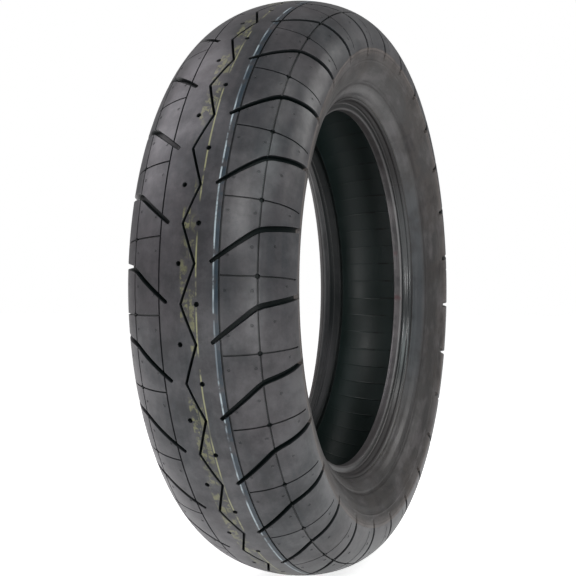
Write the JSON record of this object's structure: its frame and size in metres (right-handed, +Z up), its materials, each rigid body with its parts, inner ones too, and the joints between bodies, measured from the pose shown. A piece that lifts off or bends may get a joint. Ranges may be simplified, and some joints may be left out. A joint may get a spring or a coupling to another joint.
{
  "type": "motorcycle tyre",
  "caption": "Bare tubeless motorcycle tyre with a round crown, zigzag centre groove, swept side grooves, smooth sidewalls and open beads.",
  "frame": {"origin": "wheel centre, on the spin axis midway between the beads", "axes": "+Y along the spin axis, +X the way forward, +Z up"},
  "size_m": [0.6467, 0.1738, 0.647],
  "materials": {
    "tread_rubber": "satin, with faint moulding marks",
    "sidewall_rubber": "satin, slightly warm",
    "bead_rubber": "smooth and glossier than the sidewall",
    "liner_rubber": "smooth, dark",
    "inner_rubber": "matt",
    "ply_cord": "rubbered cord",
    "bead_wire": "bronze-plated wire"
  },
  "bodies": {
    "root": {"tread_cap": "tread_rubber", "tread_base": "inner_rubber", "tread_wing_left": "inner_rubber", "tread_wing_right": "inner_rubber", "breaker_outer": "ply_cord", "breaker_inner": "ply_cord", "breaker_edge_cushion_left": "inner_rubber", "breaker_edge_cushion_right": "inner_rubber", "carcass_ply_outer": "ply_cord", "carcass_ply_inner": "ply_cord", "inner_liner": "liner_rubber", "sidewall_left": "sidewall_rubber", "sidewall_right": "sidewall_rubber", "chafer_left": "bead_rubber", "chafer_right": "bead_rubber", "bead_wires_left": "bead_wire", "bead_wires_right": "bead_wire", "bead_filler_left": "inner_rubber", "bead_filler_right": "inner_rubber", "bead_flipper_left": "ply_cord", "bead_flipper_right": "ply_cord"}
  },
  "joints": []
}
